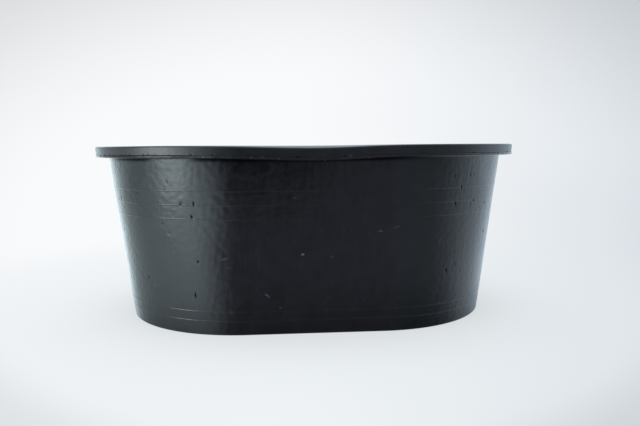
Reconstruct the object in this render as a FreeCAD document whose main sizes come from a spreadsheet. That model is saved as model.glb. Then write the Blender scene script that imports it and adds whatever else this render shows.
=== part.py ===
"""Oval mortar mixing tub, in millimetres.

A heavy moulded-rubber tub with an obround plan, a leaning wall and a thick square rim, in four pieces:

tub_shell    the moulded wall, floor and thin rim flange, with fine witness ridges round the outside
rim_band     the thick rubber band bonded on top of the flange, with a groove in its underside
rim_hoop     the steel wire hoop that lies in that groove and holds the oval open
hoop_sleeve  the crimped steel sleeve that joins the two ends of the hoop

+Z is up, X runs along the tub, and the origin is the middle of the foot, on the ground.
"""

import FreeCAD, Part
import math
import os
import Sketcher

PARTS_FOLDER = "parts"

# Driving dimensions: alias, value in millimetres or degrees, meaning.
DIMENSIONS = (
    ("rim_length", 750, "overall length, across the rim"),
    ("rim_width", 530, "overall width, across the rim"),
    ("tub_height", 297, "ground to the top of the rim"),
    ("band_height", 14, "height of the rubber band above the flange"),
    ("flange_thickness", 4, "thickness of the flange under the band"),
    ("rim_overhang", 22, "rim edge beyond the wall, just under the flange"),
    ("wall_draft", 7.2, "lean of the wall from upright, degrees"),
    ("wall_thickness", 5, "wall, measured level"),
    ("floor_thickness", 7, "floor, at the foot ring"),
    ("foot_rounding", 3, "outside edge of the foot"),
    ("floor_rounding", 15, "inside corner between wall and floor"),
    ("foot_ring_width", 30, "flat ring that the tub stands on"),
    ("foot_recess", 2, "floor's underside above the ground, inside the ring"),
    ("recess_rounding", 1.5, "edge of the recess under the floor"),
    ("ridge_height", 0.5, "witness ridge, out from the wall"),
    ("ridge_width", 1.8, "witness ridge, up the wall"),
    ("ridge_rounding", 0.2, "outer edges of a witness ridge"),
    ("upper_ridge_level", 186, "lowest ridge of the upper group"),
    ("upper_ridge_pitch", 21.5, "between ridges of the upper group"),
    ("lower_ridge_level", 23.5, "lowest ridge of the lower group"),
    ("lower_ridge_pitch", 15.5, "between ridges of the lower group"),
    ("band_draft", 5, "lean of the band's outer face, degrees"),
    ("band_top_rounding", 3, "outer top edge of the band"),
    ("band_mouth_rounding", 2, "inner top edge of the band"),
    ("band_foot_rounding", 0.8, "outer lower edge of the band, along the seam"),
    ("lip_proud", 0.8, "flange lip beyond the band's lower edge"),
    ("lip_rounding", 1.5, "both edges of the flange lip"),
    ("hoop_inset", 12, "hoop's centre line in from the rim edge"),
    ("hoop_diameter", 6, "steel wire of the hoop"),
    ("hoop_gap", 1, "between the ends of the wire, inside the sleeve"),
    ("groove_clearance", 0.1, "round the wire and the sleeve"),
    ("sleeve_diameter", 9, "outside of the crimped sleeve"),
    ("sleeve_length", 30, "length of the crimped sleeve"),
    ("crimp_depth", 0.5, "depth of each crimp ring in the sleeve"),
    ("crimp_rounding", 2.5, "radius of a crimp ring's round bottom"),
    ("crimp_spacing", 15, "between the two crimp rings"),
)
UPPER_RIDGES = 3
LOWER_RIDGES = 2
EDGE_TOLERANCE = 0.02
FULL_TURN = 360

# Expressions that several features share.
STRAIGHT = "(Dims.rim_length - Dims.rim_width)"
FLANGE_TOP = "(Dims.tub_height - Dims.band_height)"
FLANGE_UNDERSIDE = f"({FLANGE_TOP} - Dims.flange_thickness)"
HOOP_RADIUS = "(Dims.rim_width / 2 - Dims.hoop_inset)"
HOOP_LEVEL = f"({FLANGE_TOP} + Dims.hoop_diameter / 2)"
BAND_FOOT_RADIUS = "(Dims.rim_width / 2 - Dims.band_height * tan(Dims.band_draft * 1 deg))"
LIP_RADIUS = f"({BAND_FOOT_RADIUS} + Dims.lip_proud)"
WIRE_RADIUS = "(Dims.hoop_diameter / 2)"
SLEEVE_RADIUS = "(Dims.sleeve_diameter / 2)"
JAW_LEVEL = f"({HOOP_LEVEL} + {SLEEVE_RADIUS} - Dims.crimp_depth + Dims.crimp_rounding)"
GROOVE_RADIUS = "(Dims.hoop_diameter / 2 + Dims.groove_clearance)"
SEAT_RADIUS = "(Dims.sleeve_diameter / 2 + Dims.groove_clearance)"
SEAT_LENGTH = "(Dims.sleeve_length + 2 * Dims.groove_clearance)"


def wall_radius(level):
    """Expression for the end radius of the wall's outer face at a level."""
    run = f"({FLANGE_UNDERSIDE} - {level}) * tan(Dims.wall_draft * 1 deg)"
    return f"(Dims.rim_width / 2 - Dims.rim_overhang - {run})"


def cavity_radius(level):
    """Expression for the end radius of the wall's inner face at a level."""
    return f"({wall_radius(level)} - Dims.wall_thickness)"


def make_sheet(doc):
    """The spreadsheet that holds the driving dimensions."""
    sheet = doc.addObject("Spreadsheet::Sheet", "Dims")
    for row, (alias, value, meaning) in enumerate(DIMENSIONS, start=1):
        sheet.set(f"A{row}", meaning)
        sheet.set(f"B{row}", str(value))
        sheet.setAlias(f"B{row}", alias)
    doc.recompute()


def number(expression):
    """The value of an expression of the driving dimensions."""
    return float(FreeCAD.ActiveDocument.Dims.evalExpression(expression))


def make_body(doc, label):
    """A PartDesign body named after its piece."""
    body = doc.addObject("PartDesign::Body", label)
    body.Label = label
    return body


def origin_plane(body, role):
    """One of the body's own origin planes, such as XY_Plane."""
    return next(item for item in body.Origin.OriginFeatures if item.Role == role)


def new_sketch(body, name, role="XY_Plane", level="0"):
    """An empty sketch on an origin plane, lifted along that plane's normal by an expression."""
    sketch = body.newObject("Sketcher::SketchObject", name)
    sketch.AttachmentSupport = [(origin_plane(body, role), "")]
    sketch.MapMode = "FlatFace"
    sketch.setExpression("AttachmentOffset.Base.z", level)
    return sketch


def constrain(sketch, name, expression, *constraint):
    """Adds a dimension to a sketch and binds it to an expression."""
    index = sketch.addConstraint(Sketcher.Constraint(*constraint))
    sketch.renameConstraint(index, name)
    sketch.setExpression(f"Constraints.{name}", expression)


def oval_sketch(body, name, radius, level):
    """A closed obround: two half circles joined by straight sides, centred on the origin."""
    sketch = new_sketch(body, name, level=level)
    half = number(STRAIGHT) / 2
    end = number(radius)
    up = FreeCAD.Vector(0, 0, 1)
    right_middle = FreeCAD.Vector(half, 0, 0)
    left_middle = FreeCAD.Vector(-half, 0, 0)
    side = FreeCAD.Vector(0, end, 0)
    near = Part.LineSegment(left_middle - side, right_middle - side)
    right = Part.ArcOfCircle(Part.Circle(right_middle, up, end), -math.pi / 2, math.pi / 2)
    far = Part.LineSegment(right_middle + side, left_middle + side)
    left = Part.ArcOfCircle(Part.Circle(left_middle, up, end), math.pi / 2, 3 * math.pi / 2)
    sketch.addGeometry([near, right, far, left], False)
    for first, second in ((0, 1), (1, 2), (2, 3), (3, 0)):
        sketch.addConstraint(Sketcher.Constraint("Tangent", first, 2, second, 1))
    sketch.addConstraint(Sketcher.Constraint("Horizontal", 0))
    sketch.addConstraint(Sketcher.Constraint("Equal", 1, 3))
    sketch.addConstraint(Sketcher.Constraint("Symmetric", 3, 3, 1, 3, -1, 1))
    constrain(sketch, "straight", STRAIGHT, "DistanceX", 3, 3, 1, 3, 2 * half)
    constrain(sketch, "end_radius", radius, "Radius", 1, end)
    return sketch


def hoop_path_sketch(body, name):
    """The wire's centre line: an obround with a gap in the middle of the far side."""
    sketch = new_sketch(body, name, level=HOOP_LEVEL)
    half = number(STRAIGHT) / 2
    end = number(HOOP_RADIUS)
    gap = FreeCAD.Vector(number("Dims.hoop_gap") / 2, 0, 0)
    up = FreeCAD.Vector(0, 0, 1)
    right_middle = FreeCAD.Vector(half, 0, 0)
    left_middle = FreeCAD.Vector(-half, 0, 0)
    side = FreeCAD.Vector(0, end, 0)
    start = Part.LineSegment(side - gap, left_middle + side)
    left = Part.ArcOfCircle(Part.Circle(left_middle, up, end), math.pi / 2, 3 * math.pi / 2)
    near = Part.LineSegment(left_middle - side, right_middle - side)
    right = Part.ArcOfCircle(Part.Circle(right_middle, up, end), -math.pi / 2, math.pi / 2)
    finish = Part.LineSegment(right_middle + side, side + gap)
    sketch.addGeometry([start, left, near, right, finish], False)
    sketch.addConstraint(Sketcher.Constraint("Tangent", 0, 2, 1, 1))
    sketch.addConstraint(Sketcher.Constraint("Tangent", 1, 2, 2, 1))
    sketch.addConstraint(Sketcher.Constraint("Tangent", 2, 2, 3, 1))
    sketch.addConstraint(Sketcher.Constraint("Tangent", 3, 2, 4, 1))
    sketch.addConstraint(Sketcher.Constraint("Horizontal", 2))
    sketch.addConstraint(Sketcher.Constraint("Horizontal", 0))
    sketch.addConstraint(Sketcher.Constraint("Equal", 1, 3))
    sketch.addConstraint(Sketcher.Constraint("Symmetric", 1, 3, 3, 3, -1, 1))
    sketch.addConstraint(Sketcher.Constraint("Symmetric", 0, 1, 4, 2, -2))
    constrain(sketch, "straight", STRAIGHT, "DistanceX", 1, 3, 3, 3, 2 * half)
    constrain(sketch, "end_radius", HOOP_RADIUS, "Radius", 3, end)
    constrain(sketch, "gap", "Dims.hoop_gap", "DistanceX", 0, 1, 4, 2, 2 * gap.x)
    return sketch


def circle_sketch(body, name, radius, offset="0"):
    """One circle round the hoop's centre line, on an upright plane across the far side."""
    sketch = new_sketch(body, name, "YZ_Plane", offset)
    middle = FreeCAD.Vector(number(HOOP_RADIUS), number(HOOP_LEVEL), 0)
    sketch.addGeometry(Part.Circle(middle, FreeCAD.Vector(0, 0, 1), number(radius)), False)
    constrain(sketch, "across", HOOP_RADIUS, "DistanceX", -1, 1, 0, 3, middle.x)
    constrain(sketch, "level", HOOP_LEVEL, "DistanceY", -1, 1, 0, 3, middle.y)
    constrain(sketch, "radius", radius, "Radius", 0, number(radius))
    return sketch


def arch_sketch(body, name, radius):
    """A half circle over the hoop's centre line, with straight sides down to the band's underside."""
    sketch = new_sketch(body, name, "YZ_Plane")
    middle = FreeCAD.Vector(number(HOOP_RADIUS), number(HOOP_LEVEL), 0)
    reach = FreeCAD.Vector(number(radius), 0, 0)
    drop = FreeCAD.Vector(0, middle.y - number(FLANGE_TOP), 0)
    crown_circle = Part.Circle(middle, FreeCAD.Vector(0, 0, 1), reach.x)
    crown = Part.ArcOfCircle(crown_circle, 0, math.pi)
    left = Part.LineSegment(middle - reach, middle - reach - drop)
    foot = Part.LineSegment(middle - reach - drop, middle + reach - drop)
    right = Part.LineSegment(middle + reach - drop, middle + reach)
    sketch.addGeometry([crown, left, foot, right], False)
    sketch.addConstraint(Sketcher.Constraint("Tangent", 0, 2, 1, 1))
    sketch.addConstraint(Sketcher.Constraint("Coincident", 1, 2, 2, 1))
    sketch.addConstraint(Sketcher.Constraint("Coincident", 2, 2, 3, 1))
    sketch.addConstraint(Sketcher.Constraint("Tangent", 3, 2, 0, 1))
    sketch.addConstraint(Sketcher.Constraint("Horizontal", 2))
    sketch.addConstraint(Sketcher.Constraint("Vertical", 1))
    sketch.addConstraint(Sketcher.Constraint("Vertical", 3))
    constrain(sketch, "radius", radius, "Radius", 0, reach.x)
    constrain(sketch, "across", HOOP_RADIUS, "DistanceX", -1, 1, 0, 3, middle.x)
    constrain(sketch, "level", HOOP_LEVEL, "DistanceY", -1, 1, 0, 3, middle.y)
    constrain(sketch, "foot_level", FLANGE_TOP, "DistanceY", -1, 1, 1, 2, middle.y - drop.y)
    return sketch


def crimp_sketch(body, name):
    """Two round crimping jaws over the sleeve, and the sleeve's axis as a construction line."""
    sketch = new_sketch(body, name, "XZ_Plane", f"-{HOOP_RADIUS}")
    level = number(HOOP_LEVEL)
    half_spacing = number("Dims.crimp_spacing") / 2
    half_length = number("Dims.sleeve_length") / 2
    jaw_level = number(JAW_LEVEL)
    rounding = number("Dims.crimp_rounding")
    out = FreeCAD.Vector(0, 0, 1)
    axis = Part.LineSegment(FreeCAD.Vector(-half_length, level, 0), FreeCAD.Vector(half_length, level, 0))
    left_jaw = Part.Circle(FreeCAD.Vector(-half_spacing, jaw_level, 0), out, rounding)
    right_jaw = Part.Circle(FreeCAD.Vector(half_spacing, jaw_level, 0), out, rounding)
    sketch.addGeometry(axis, True)
    sketch.addGeometry([left_jaw, right_jaw], False)
    sketch.addConstraint(Sketcher.Constraint("Symmetric", 0, 1, 0, 2, -2))
    sketch.addConstraint(Sketcher.Constraint("Symmetric", 1, 3, 2, 3, -2))
    sketch.addConstraint(Sketcher.Constraint("Equal", 1, 2))
    constrain(sketch, "length", "Dims.sleeve_length", "DistanceX", 0, 1, 0, 2, 2 * half_length)
    constrain(sketch, "level", HOOP_LEVEL, "DistanceY", -1, 1, 0, 1, level)
    constrain(sketch, "spacing", "Dims.crimp_spacing", "DistanceX", 1, 3, 2, 3, 2 * half_spacing)
    constrain(sketch, "jaw_level", JAW_LEVEL, "DistanceY", -1, 1, 1, 3, jaw_level)
    constrain(sketch, "rounding", "Dims.crimp_rounding", "Radius", 1, rounding)
    return sketch


def extrude(body, kind, name, sketch, length, taper="0", reverse=False, both_ways=False):
    """A Pad or a Pocket of a sketch, with its length and taper bound to expressions."""
    feature = body.newObject(f"PartDesign::{kind}", name)
    feature.Profile = sketch
    feature.setExpression("Length", length)
    feature.setExpression("TaperAngle", taper)
    feature.Reversed = reverse
    feature.Midplane = both_ways
    return feature


def sweep(body, kind, name, profile, path):
    """An AdditivePipe or a SubtractivePipe of a profile along a path."""
    pipe = body.newObject(f"PartDesign::{kind}", name)
    pipe.Profile = profile
    pipe.Spine = (path, [])
    return pipe


def loop_edges(shape, level, end_radius):
    """Names of the edges that make a level obround loop with a given end radius."""
    found = []
    for index, edge in enumerate(shape.Edges, start=1):
        box = edge.BoundBox
        is_level = abs(box.ZMin - level) < EDGE_TOLERANCE and abs(box.ZMax - level) < EDGE_TOLERANCE
        is_on_loop = abs(max(box.YMax, -box.YMin) - end_radius) < EDGE_TOLERANCE
        if is_level and is_on_loop:
            found.append(f"Edge{index}")
    return found


def round_loops(body, name, rounding, *loops):
    """Fillets level loops on the body's newest feature; each loop is a level and an end radius."""
    body.Document.recompute()
    base = body.Tip
    names = []
    for level, end_radius in loops:
        names += loop_edges(base.Shape, number(level), number(end_radius))
    fillet = body.newObject("PartDesign::Fillet", name)
    fillet.Base = (base, names)
    fillet.setExpression("Radius", rounding)
    return fillet


def add_ridges(body, group, first_level, pitch, count):
    """Fine level ridges round the outside of the wall."""
    for index in range(count):
        foot_level = f"({first_level} + {index} * {pitch} - Dims.ridge_width / 2)"
        crest_level = f"({foot_level} + Dims.ridge_width)"
        crest_radius = f"({wall_radius(foot_level)} + Dims.ridge_height)"
        outline = oval_sketch(body, f"{group}_ridge_outline_{index}", crest_radius, foot_level)
        extrude(body, "Pad", f"{group}_ridge_{index}", outline, "Dims.ridge_width")
        lower_loop = (foot_level, crest_radius)
        upper_loop = (crest_level, crest_radius)
        round_loops(body, f"{group}_ridge_rounding_{index}", "Dims.ridge_rounding", lower_loop, upper_loop)


def make_tub_shell(doc):
    """Wall, floor and flange in one moulding."""
    body = make_body(doc, "tub_shell")
    foot_radius = wall_radius("0")
    foot = oval_sketch(body, "foot_outline", foot_radius, "0")
    extrude(body, "Pad", "wall_block", foot, FLANGE_TOP, taper="Dims.wall_draft")
    round_loops(body, "foot_rounding", "Dims.foot_rounding", ("0", foot_radius))

    flange = oval_sketch(body, "flange_outline", LIP_RADIUS, FLANGE_UNDERSIDE)
    extrude(body, "Pad", "flange", flange, "Dims.flange_thickness")
    lower_loop = (FLANGE_UNDERSIDE, LIP_RADIUS)
    upper_loop = (FLANGE_TOP, LIP_RADIUS)
    round_loops(body, "lip_rounding", "Dims.lip_rounding", lower_loop, upper_loop)

    add_ridges(body, "upper", "Dims.upper_ridge_level", "Dims.upper_ridge_pitch", UPPER_RIDGES)
    add_ridges(body, "lower", "Dims.lower_ridge_level", "Dims.lower_ridge_pitch", LOWER_RIDGES)

    mouth = oval_sketch(body, "mouth_outline", cavity_radius(FLANGE_TOP), FLANGE_TOP)
    depth = f"{FLANGE_TOP} - Dims.floor_thickness"
    extrude(body, "Pocket", "cavity", mouth, depth, taper="-Dims.wall_draft")
    floor_loop = ("Dims.floor_thickness", cavity_radius("Dims.floor_thickness"))
    round_loops(body, "floor_rounding", "Dims.floor_rounding", floor_loop)

    recess_radius = f"({foot_radius} - Dims.foot_ring_width)"
    recess = oval_sketch(body, "recess_outline", recess_radius, "0")
    extrude(body, "Pocket", "foot_recess", recess, "Dims.foot_recess", reverse=True)
    round_loops(body, "recess_rounding", "Dims.recess_rounding", ("Dims.foot_recess", recess_radius))

    seat = circle_sketch(body, "sleeve_seat_outline", SEAT_RADIUS)
    extrude(body, "Pocket", "sleeve_seat", seat, SEAT_LENGTH, both_ways=True)
    return body


def make_rim_band(doc):
    """Thick rubber band on the flange, open underneath for the hoop and its sleeve."""
    body = make_body(doc, "rim_band")
    outline = oval_sketch(body, "band_outline", BAND_FOOT_RADIUS, FLANGE_TOP)
    extrude(body, "Pad", "band_block", outline, "Dims.band_height", taper="Dims.band_draft")

    mouth_radius = cavity_radius("Dims.tub_height")
    mouth = oval_sketch(body, "mouth_outline", mouth_radius, "Dims.tub_height")
    extrude(body, "Pocket", "mouth", mouth, "Dims.band_height", taper="-Dims.wall_draft")

    top_loop = ("Dims.tub_height", "Dims.rim_width / 2")
    round_loops(body, "top_rounding", "Dims.band_top_rounding", top_loop)
    round_loops(body, "mouth_rounding", "Dims.band_mouth_rounding", ("Dims.tub_height", mouth_radius))
    round_loops(body, "seam_rounding", "Dims.band_foot_rounding", (FLANGE_TOP, BAND_FOOT_RADIUS))

    groove = arch_sketch(body, "groove_profile", GROOVE_RADIUS)
    path = oval_sketch(body, "groove_path", HOOP_RADIUS, HOOP_LEVEL)
    sweep(body, "SubtractivePipe", "hoop_groove", groove, path)

    seat = arch_sketch(body, "sleeve_seat_profile", SEAT_RADIUS)
    extrude(body, "Pocket", "sleeve_seat", seat, SEAT_LENGTH, both_ways=True)
    return body


def make_rim_hoop(doc):
    """Steel wire bent to the oval, its ends a little apart inside the sleeve."""
    body = make_body(doc, "rim_hoop")
    path = hoop_path_sketch(body, "wire_path")
    wire = circle_sketch(body, "wire_section", WIRE_RADIUS, offset="-Dims.hoop_gap / 2")
    sweep(body, "AdditivePipe", "wire", wire, path)
    return body


def make_hoop_sleeve(doc):
    """Short tube over the two wire ends, squeezed in two crimp rings."""
    body = make_body(doc, "hoop_sleeve")
    outside = circle_sketch(body, "tube_outline", SLEEVE_RADIUS)
    extrude(body, "Pad", "tube", outside, "Dims.sleeve_length", both_ways=True)
    bore = circle_sketch(body, "bore_outline", WIRE_RADIUS)
    extrude(body, "Pocket", "bore", bore, "Dims.sleeve_length", both_ways=True)
    jaws = crimp_sketch(body, "crimp_jaws")
    rings = body.newObject("PartDesign::Groove", "crimp_rings")
    rings.Profile = jaws
    rings.ReferenceAxis = (jaws, ["Axis0"])
    rings.Angle = FULL_TURN
    return body


def check(doc, bodies):
    """Stops the build if an object failed or a piece isn't one sound solid."""
    for item in doc.Objects:
        if "Invalid" in item.State or "Error" in item.State:
            raise RuntimeError(f"{item.Name} failed: {item.State}")
        if item.isDerivedFrom("Sketcher::SketchObject") and not item.FullyConstrained:
            raise RuntimeError(f"{item.Name} is not fully constrained")
    for body in bodies:
        shape = body.Shape
        if shape.isNull() or not shape.isValid() or len(shape.Solids) != 1:
            raise RuntimeError(f"{body.Label} is not one valid solid")


def main():
    doc = FreeCAD.newDocument("mortar_tub")
    make_sheet(doc)
    makers = (make_tub_shell, make_rim_band, make_rim_hoop, make_hoop_sleeve)
    bodies = [make(doc) for make in makers]
    doc.recompute()
    check(doc, bodies)
    os.makedirs(PARTS_FOLDER, exist_ok=True)
    for body in bodies:
        body.Shape.exportStep(os.path.join(PARTS_FOLDER, f"{body.Label}.step"))
        print(body.Label, body.Shape.BoundBox, round(body.Shape.Volume))


main()
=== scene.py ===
"""Looks of an oval mortar mixing tub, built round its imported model.

Lengths are in metres, except in the lists of marks, which are in millimetres. The tub is an oval lathe: a
cross-section carried round two straight sides and two round ends. The shell, the band and the hoop are
rebuilt here at fine detail, with the slight dip that the near side of the rim has taken.
"""

import math

import bpy
import numpy as np
from mathutils import Matrix, Vector


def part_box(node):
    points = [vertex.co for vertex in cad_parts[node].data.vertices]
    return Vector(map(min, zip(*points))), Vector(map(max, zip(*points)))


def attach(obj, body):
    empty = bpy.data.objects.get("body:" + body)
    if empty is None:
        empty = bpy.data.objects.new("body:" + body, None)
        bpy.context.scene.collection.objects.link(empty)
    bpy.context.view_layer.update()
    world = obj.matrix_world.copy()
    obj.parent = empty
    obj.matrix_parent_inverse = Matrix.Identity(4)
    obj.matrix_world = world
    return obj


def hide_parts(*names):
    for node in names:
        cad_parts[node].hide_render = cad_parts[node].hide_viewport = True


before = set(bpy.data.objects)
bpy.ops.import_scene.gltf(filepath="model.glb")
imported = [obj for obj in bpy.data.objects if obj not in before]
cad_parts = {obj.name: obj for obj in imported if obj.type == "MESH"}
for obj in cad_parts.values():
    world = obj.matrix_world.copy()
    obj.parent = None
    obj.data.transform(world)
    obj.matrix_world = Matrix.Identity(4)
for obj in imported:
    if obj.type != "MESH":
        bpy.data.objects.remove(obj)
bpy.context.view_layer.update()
_, SHELL_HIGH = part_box("tub_shell")
BAND_LOW, BAND_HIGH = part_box("rim_band")
HOOP_LOW, HOOP_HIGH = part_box("rim_hoop")
SLEEVE_LOW, SLEEVE_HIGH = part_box("hoop_sleeve")

MM = 0.001
RANDOM_SEED = 7

# ---------------------------------------------------------------- sizes

HALF_STRAIGHT = SHELL_HIGH.x - SHELL_HIGH.y
FLANGE_TOP = BAND_LOW.z
RIM_TOP = BAND_HIGH.z
FLANGE_THICKNESS = 4 * MM
FLANGE_UNDERSIDE = FLANGE_TOP - FLANGE_THICKNESS
LIP_RADIUS = SHELL_HIGH.y
LIP_PROUD = 0.8 * MM
LIP_ROUNDING = 1.5 * MM
RIM_OVERHANG = 22 * MM

WALL_LEAN = math.radians(7.2)
WALL_THICKNESS = 5 * MM
FLOOR_LEVEL = 7 * MM
FLOOR_ROUNDING = 15 * MM
FOOT_ROUNDING = 3 * MM
FOOT_RING_WIDTH = 30 * MM
FOOT_RECESS = 2 * MM
RECESS_ROUNDING = 1.5 * MM

RIDGE_LEVELS = (23.5 * MM, 39 * MM, 186 * MM, 207.5 * MM, 229 * MM)
RIDGE_HEIGHT = 0.5 * MM
RIDGE_WIDTH = 1.8 * MM

BAND_LEAN = math.radians(5)
BAND_HEIGHT = RIM_TOP - FLANGE_TOP
BAND_FOOT_RADIUS = LIP_RADIUS - LIP_PROUD
RIM_RADIUS = BAND_FOOT_RADIUS + BAND_HEIGHT * math.tan(BAND_LEAN)
WALL_TOP_RADIUS = RIM_RADIUS - RIM_OVERHANG
BAND_TOP_ROUNDING = 3 * MM
BAND_MOUTH_ROUNDING = 2 * MM
BAND_FOOT_ROUNDING = 0.8 * MM

WIRE_RADIUS = (HOOP_HIGH.z - HOOP_LOW.z) / 2
HOOP_RADIUS = HOOP_HIGH.y - WIRE_RADIUS
HOOP_LEVEL = (HOOP_HIGH.z + HOOP_LOW.z) / 2
HOOP_GAP = 1 * MM
GROOVE_CLEARANCE = 0.1 * MM
GROOVE_RADIUS = WIRE_RADIUS + GROOVE_CLEARANCE
SEAT_RADIUS = (SLEEVE_HIGH.z - SLEEVE_LOW.z) / 2 + GROOVE_CLEARANCE
SEAT_HALF_LENGTH = SLEEVE_HIGH.x + GROOVE_CLEARANCE

# The dip in the middle of the rim's near side, which also tips the rim's top outwards and lets the lip sag.
INNER_DIP = 1.0 * MM
OUTER_DIP = 4.3 * MM
LIP_SAG = 1.4 * MM
DIP_MIDDLE = 0 * MM
DIP_WIDTH_LEFT = 114 * MM
DIP_WIDTH_RIGHT = 86 * MM
DIP_FADE_POWER = 3


def wall_radius(level):
    """End radius of the wall's outer face at a level."""
    return WALL_TOP_RADIUS - (FLANGE_UNDERSIDE - level) * math.tan(WALL_LEAN)


def cavity_radius(level):
    """End radius of the wall's inner face at a level."""
    return wall_radius(level) - WALL_THICKNESS


# ---------------------------------------------------------------- smooth noise

RIPPLE_PITCHES = (0.7, 1.4)


def ripple(points, wavelength, seed, waves=24):
    """Smooth, seeded noise of about -1 to 1 at each point, with features about a wavelength apart."""
    random = np.random.default_rng(seed)
    directions = random.normal(size=(waves, points.shape[1]))
    directions /= np.linalg.norm(directions, axis=1)[:, None]
    pitches = wavelength * random.uniform(*RIPPLE_PITCHES, waves)
    phases = random.uniform(0, math.tau, waves)
    total = np.zeros(len(points))
    for direction, pitch, phase in zip(directions, pitches, phases):
        total += np.cos(points @ direction * (math.tau / pitch) + phase)
    return total / math.sqrt(waves / 2)


def smooth_step(value, low, high):
    """0 below low, 1 above high, and a smooth climb between."""
    share = np.clip((value - low) / (high - low), 0, 1)
    return share * share * (3 - 2 * share)


# ---------------------------------------------------------------- the oval

class Columns:
    """Upright columns round the oval, each with a spine point, an outward direction and a distance round."""

    NOMINAL_RADIUS = 235 * MM
    QUARTER = HALF_STRAIGHT + NOMINAL_RADIUS * math.pi / 2

    def __init__(self, around):
        self.around = np.asarray(around, float)
        self.spine = np.zeros((len(self.around), 2))
        self.outward = np.zeros((len(self.around), 2))
        for index, distance in enumerate(self.around):
            self._place(index, distance)

    def _place(self, index, distance):
        """Distance 0 is the middle of the near side, and it grows towards +X."""
        side = -1 if distance < 0 else 1
        run = abs(distance)
        far_corner = 2 * self.QUARTER - HALF_STRAIGHT
        if run < HALF_STRAIGHT:
            self.spine[index] = (side * run, 0)
            self.outward[index] = (0, -1)
        elif run > far_corner:
            self.spine[index] = (side * (2 * self.QUARTER - run), 0)
            self.outward[index] = (0, 1)
        else:
            turn = (run - HALF_STRAIGHT) / self.NOMINAL_RADIUS
            self.spine[index] = (side * HALF_STRAIGHT, 0)
            self.outward[index] = (side * math.sin(turn), -math.cos(turn))

    def halved(self):
        """Every second column."""
        return Columns(self.around[::2])

    def __len__(self):
        return len(self.around)

    def ring(self, radius, level):
        """One point per column, at a radius and a level that may differ from column to column."""
        points = np.zeros((len(self), 3))
        points[:, :2] = self.spine + self.outward * np.broadcast_to(radius, len(self))[:, None]
        points[:, 2] = level
        return points


def column_places(fine_pitch, coarse_pitch, fine_reach):
    """Distances round the oval, mirrored about X = 0, closer together on the near side than on the far side.

    The number of columns can be halved twice.
    """
    fine_count = 4 * round(fine_reach / fine_pitch / 4)
    coarse_count = 4 * round((2 * Columns.QUARTER - fine_reach) / coarse_pitch / 4)
    fine = np.linspace(0, fine_reach, fine_count, endpoint=False)
    coarse = np.linspace(fine_reach, 2 * Columns.QUARTER, coarse_count, endpoint=False)
    right = np.concatenate([fine, coarse])
    return np.concatenate([right, [2 * Columns.QUARTER], -right[:0:-1]])


# ---------------------------------------------------------------- mesh building

SHARP_DEGREES = 50


class Lathe:
    """Collects rings of points, with values at each point, and the faces between neighbouring rings."""

    def __init__(self, *value_names):
        self.points = []
        self.values = {name: [] for name in value_names}
        self.faces = []
        self.starts = []
        self.sizes = []

    def add_ring(self, ring, **values):
        """Adds a ring and joins it to the last one, which has as many points, or half or twice as many."""
        start = sum(self.sizes)
        self.points.append(ring)
        for name, collected in self.values.items():
            collected.append(np.broadcast_to(values.get(name, 0.0), len(ring)))
        self.starts.append(start)
        self.sizes.append(len(ring))
        if len(self.starts) > 1:
            self._join(len(self.starts) - 2, len(self.starts) - 1)

    def _join(self, before, after):
        first, count = self.starts[before], self.sizes[before]
        second, second_count = self.starts[after], self.sizes[after]
        if count == second_count:
            for k in range(count):
                step = (k + 1) % count
                self.faces.append((first + k, first + step, second + step, second + k))
        elif count > second_count:
            self.faces += halving_faces(first, count, second, second_count)
        else:
            self.faces += [face[::-1] for face in halving_faces(second, second_count, first, count)]

    def close_loop(self):
        """Joins the last ring to the first, for a section that is a closed loop."""
        self._join(len(self.starts) - 1, 0)

    def cap(self, index, flip):
        """Fills a ring whose point k mirrors point -k, with a strip of quads and a triangle at each end."""
        start, size = self.starts[index], self.sizes[index]
        for k in range(size // 2):
            corners = (k, k + 1, (size - k - 1) % size, (size - k) % size)
            face = tuple(start + corner for corner in dict.fromkeys(corners))
            self.faces.append(face[::-1] if flip else face)

    def build(self, name):
        """The mesh object, with the collected values as attributes."""
        mesh = shaded_mesh(name, np.concatenate(self.points), self.faces)
        for value_name, collected in self.values.items():
            attribute = mesh.attributes.new(value_name, "FLOAT", "POINT")
            attribute.data.foreach_set("value", np.concatenate(collected).astype(np.float32))
        mesh.validate()
        mesh.update()
        return linked_object(name, mesh)


def shaded_mesh(name, points, faces):
    """A closed mesh with its faces turned outwards and shaded smooth between its sharp edges."""
    mesh = bpy.data.meshes.new(name)
    mesh.from_pydata(points.tolist(), [], faces)
    if signed_volume(points, mesh) < 0:
        mesh.flip_normals()
    mesh.polygons.foreach_set("use_smooth", [True] * len(mesh.polygons))
    mesh.set_sharp_from_angle(angle=math.radians(SHARP_DEGREES))
    return mesh


def linked_object(name, data):
    """A new object that shows the data in the scene."""
    made = bpy.data.objects.new(name, data)
    bpy.context.scene.collection.objects.link(made)
    return made


def halving_faces(first, count, second, second_count):
    """Three triangles for each point of the second ring, which has half as many points as the first."""
    faces = []
    for k in range(second_count):
        step = (k + 1) % second_count
        left, middle, right = 2 * k, 2 * k + 1, (2 * k + 2) % count
        faces.append((first + left, first + middle, second + k))
        faces.append((first + middle, second + step, second + k))
        faces.append((first + middle, first + right, second + step))
    return faces


def signed_volume(points, mesh):
    """Volume inside a closed mesh, negative if its faces are turned inwards."""
    mesh.calc_loop_triangles()
    corners = np.zeros(len(mesh.loop_triangles) * 3, np.int32)
    mesh.loop_triangles.foreach_get("vertices", corners)
    a, b, c = points[corners.reshape(-1, 3)].transpose(1, 0, 2)
    return float(np.einsum("ij,ij->i", a, np.cross(b, c)).sum()) / 6


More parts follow.
